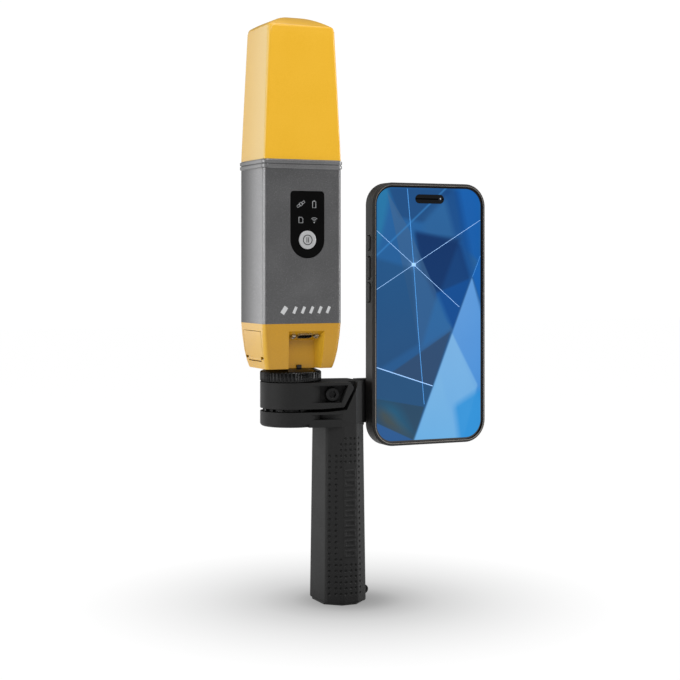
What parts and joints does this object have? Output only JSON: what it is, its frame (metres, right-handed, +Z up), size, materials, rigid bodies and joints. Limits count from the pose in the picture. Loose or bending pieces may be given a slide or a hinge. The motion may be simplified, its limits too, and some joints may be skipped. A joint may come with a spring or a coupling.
{
  "type": "handheld data collector",
  "caption": "Handheld surveying data collector: tall satellite receiver on a lock ring and clamp head, octagonal grip, and a large phone on a magnetic side arm.",
  "frame": {"origin": "centre of the grip's foot, at the mouth of the pole socket", "axes": "+Z up along the grip and the receiver, -Y is the side with the screen and the label, +X towards the phone"},
  "size_m": [0.1543, 0.0463, 0.3585],
  "materials": {
    "black_nylon": "fine grained moulded nylon",
    "cap_plastic": "matt",
    "steel": "satin",
    "black_screw": "black oxide",
    "brass": "machined",
    "aluminium": "anodised",
    "seal_rubber": "soft",
    "yellow_shell": "satin painted plastic",
    "graphite_paint": "metallic graphite paint",
    "ring_black": "glossy moulded",
    "label_black": "printed film",
    "clear_plastic": "clear light guide",
    "button_silver": "satin silver",
    "circuit_board": "solder mask",
    "battery_wrap": "shrink wrap",
    "former_white": "moulded",
    "case_rubber": "soft touch",
    "phone_metal": "anodised",
    "phone_glass": "polished glass, treated as solid",
    "display": "lit display",
    "lens_glass": "coated lens"
  },
  "bodies": {
    "handle": {"handle_body": "black_nylon", "core_rod": "aluminium", "core_pin": "steel", "grip_end_cap": "cap_plastic", "end_cap_screws": "black_screw", "strap_lug": "black_screw", "clamp_jaw": "black_nylon", "clamp_screw": "black_screw", "clamp_insert": "brass", "phone_arm": "black_nylon", "arm_screws": "black_screw", "mount_plate": "aluminium", "mount_magnets": "steel", "mount_pad": "seal_rubber"},
    "stem": {"swivel_spigot": "aluminium", "index_ring": "steel"},
    "lock": {"lock_ring": "ring_black", "lock_stud": "steel", "stud_clip": "steel"},
    "receiver": {"base_housing": "yellow_shell", "mount_insert": "brass", "base_seal": "seal_rubber", "base_screws": "steel", "index_key": "cap_plastic", "port_shell": "steel", "port_insert": "cap_plastic", "jack_screws": "steel", "card_reader": "steel", "main_housing": "graphite_paint", "label_panel": "label_black", "light_pipes": "clear_plastic", "dome_switch": "steel", "main_board": "circuit_board", "battery_tray": "cap_plastic", "battery_pack": "battery_wrap", "rim_band": "graphite_paint", "radome_seal": "seal_rubber", "radome": "yellow_shell", "ground_plane": "brass", "antenna_board": "circuit_board", "antenna_core": "former_white", "antenna_conductors": "brass"},
    "door": {"service_door": "yellow_shell", "door_gasket": "seal_rubber", "door_pin": "steel"},
    "power": {"power_button": "button_silver"},
    "phone": {"phone_case": "case_rubber", "phone_frame": "phone_metal", "back_glass": "phone_glass", "camera_module": "phone_metal", "camera_lenses": "lens_glass", "front_glass": "phone_glass", "display_panel": "display", "phone_battery": "cap_plastic", "phone_board": "circuit_board", "usb_socket": "steel"},
    "action": {"action_button": "case_rubber"},
    "volume_up": {"volume_up_button": "case_rubber"},
    "volume_down": {"volume_down_button": "case_rubber"},
    "side": {"side_button": "case_rubber"}
  },
  "joints": [
    {"name": "receiver_swivel", "type": "hinge", "parent": "handle", "child": "stem", "pos_m": [-0.0283, 0.0078, 0.12], "axis": [0, 0, 1], "continuous": true},
    {"name": "lock_ring_turn", "type": "hinge", "parent": "stem", "child": "lock", "pos_m": [-0.0283, 0.0078, 0.14], "axis": [0, 0, 1], "range_deg": [-1800, 0]},
    {"name": "receiver_lift", "type": "slide", "parent": "stem", "child": "receiver", "axis": [0, 0, 1], "range_m": [0, 0.0115]},
    {"name": "service_door_hinge", "type": "hinge", "parent": "receiver", "child": "door", "pos_m": [-0.0508, 0.0078, 0.1501], "axis": [0, -1, 0], "range_deg": [0, 100]},
    {"name": "power_press", "type": "slide", "parent": "receiver", "child": "power", "axis": [0, 1, 0], "range_m": [0, 0.0006], "stiffness_N_per_m": 3000, "springref_m": -0.0003},
    {"name": "phone_release", "type": "slide", "parent": "handle", "child": "phone", "axis": [0, -1, 0], "range_m": [0, 0.06]},
    {"name": "action_press", "type": "slide", "parent": "phone", "child": "action", "axis": [1, 0, 0], "range_m": [0, 0.00035], "stiffness_N_per_m": 4000, "springref_m": -0.0003},
    {"name": "volume_up_press", "type": "slide", "parent": "phone", "child": "volume_up", "axis": [1, 0, 0], "range_m": [0, 0.00035], "stiffness_N_per_m": 4000, "springref_m": -0.0003},
    {"name": "volume_down_press", "type": "slide", "parent": "phone", "child": "volume_down", "axis": [1, 0, 0], "range_m": [0, 0.00035], "stiffness_N_per_m": 4000, "springref_m": -0.0003},
    {"name": "side_press", "type": "slide", "parent": "phone", "child": "side", "axis": [-1, 0, 0], "range_m": [0, 0.00035], "stiffness_N_per_m": 4000, "springref_m": -0.0003}
  ],
  "couplings": [
    {"joint": "lock_ring_turn", "follows": "receiver_lift", "rad_per_m": -2721.1}
  ]
}
